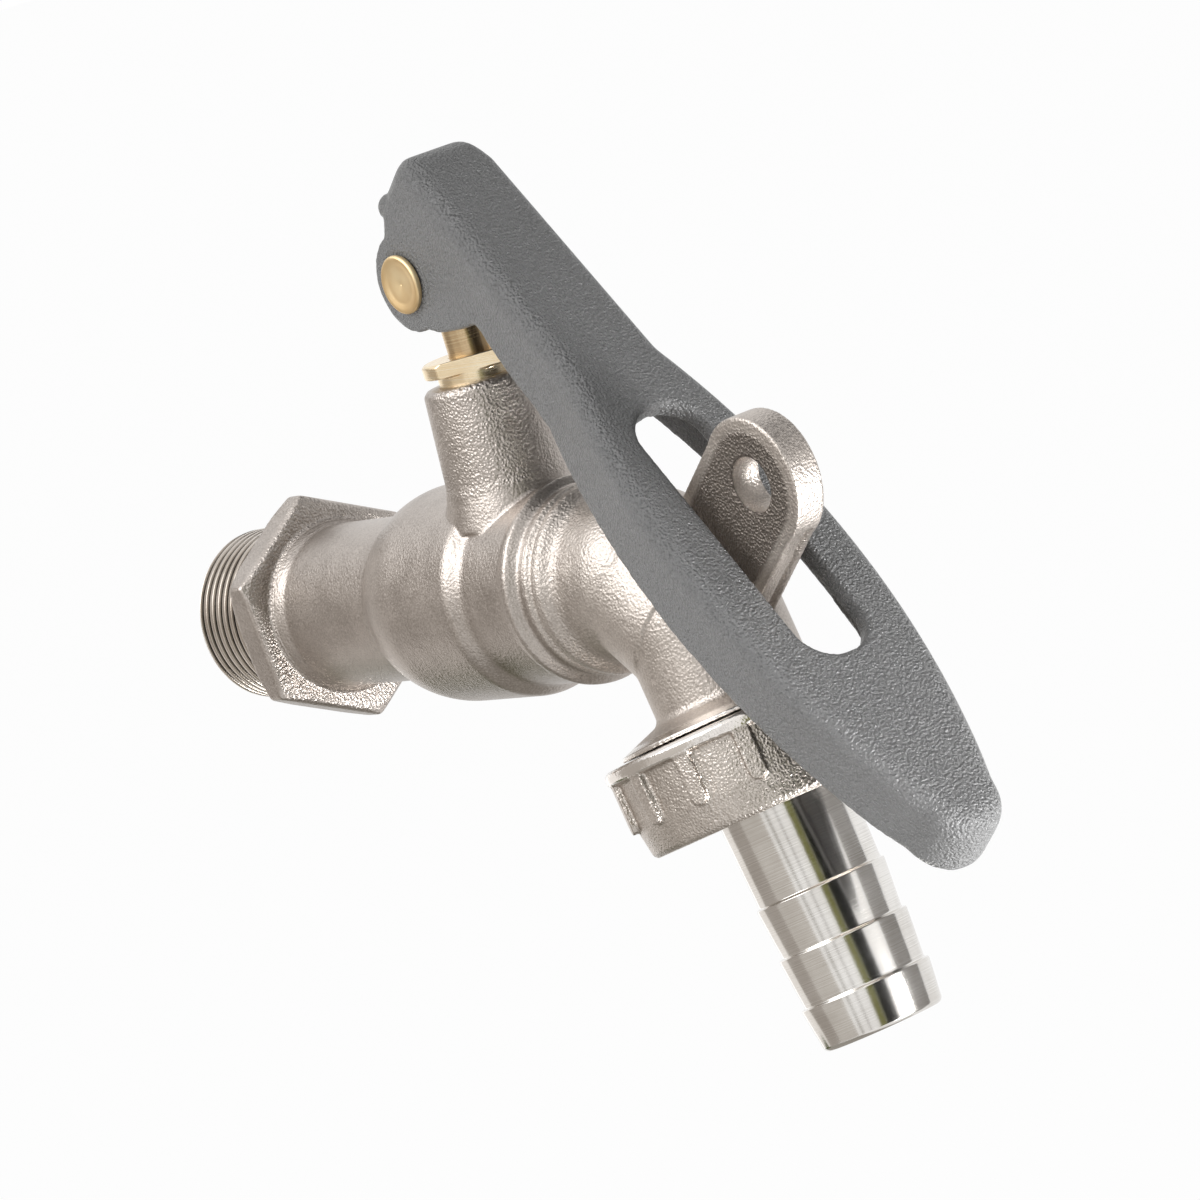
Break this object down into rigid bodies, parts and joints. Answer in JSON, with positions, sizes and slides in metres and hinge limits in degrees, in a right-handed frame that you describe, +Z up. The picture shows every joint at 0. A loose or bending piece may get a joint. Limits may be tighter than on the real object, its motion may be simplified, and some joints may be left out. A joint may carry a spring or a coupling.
{
  "type": "water butt tap",
  "caption": "Lockable ball valve tap with a male threaded inlet, a slotted drop lever over a padlock lug, a union nut and a barbed hose tail.",
  "frame": {"origin": "centre of the inlet thread in the plane of the hexagon's seating face", "axes": "+X from the wall to the outlet, +Z up the stem, +Y completes a right-handed set; the tap is shut and its lever hangs down over the lug"},
  "size_m": [0.1629, 0.0436, 0.1366],
  "materials": {
    "body_casting": "satin nickel plate over sand cast brass",
    "spout_casting": "satin nickel plate over cast brass",
    "seat_ring": "white, waxy",
    "ball": "polished",
    "stem": "turned brass",
    "washer": "white, waxy",
    "oring": "black rubber",
    "gland": "bright brass",
    "rivet": "dull brass",
    "lever": "matte grey with a fine moulded grain",
    "nut_casting": "satin nickel plate over cast brass",
    "hose_tail": "bright turned nickel plate",
    "hose_washer": "black rubber"
  },
  "bodies": {
    "tap": {"tap_body": "body_casting", "spout_elbow": "spout_casting", "inlet_seat": "seat_ring", "outlet_seat": "seat_ring", "thrust_washer": "washer", "gland_packing": "washer", "gland_nut": "gland"},
    "stem_and_ball": {"stem": "stem", "ball": "ball", "lower_stem_oring": "oring", "upper_stem_oring": "oring", "pivot_rivet": "rivet"},
    "lever_arm": {"lever": "lever"},
    "tail": {"hose_tail": "hose_tail", "hose_washer": "hose_washer"},
    "nut": {"union_nut": "nut_casting"}
  },
  "joints": [
    {"name": "stem_turn", "type": "hinge", "parent": "tap", "child": "stem_and_ball", "pos_m": [0.0597, 0, 0], "axis": [0, 0, 1], "range_deg": [-0.6, 0.6]},
    {"name": "lever_lift", "type": "hinge", "parent": "stem_and_ball", "child": "lever_arm", "pos_m": [0.0597, 0, 0.0482], "axis": [0, -1, 0], "range_deg": [0, 75]},
    {"name": "tail_slide", "type": "slide", "parent": "tap", "child": "tail", "axis": [0.2164, 0, -0.9763], "range_m": [0, 0.012]},
    {"name": "nut_turn", "type": "hinge", "parent": "tail", "child": "nut", "pos_m": [0.0938, 0, 0], "axis": [0.2164, 0, -0.9763], "range_deg": [0, 1800]}
  ],
  "couplings": [
    {"joint": "tail_slide", "follows": "nut_turn", "m_per_rad": 0.0003675}
  ]
}
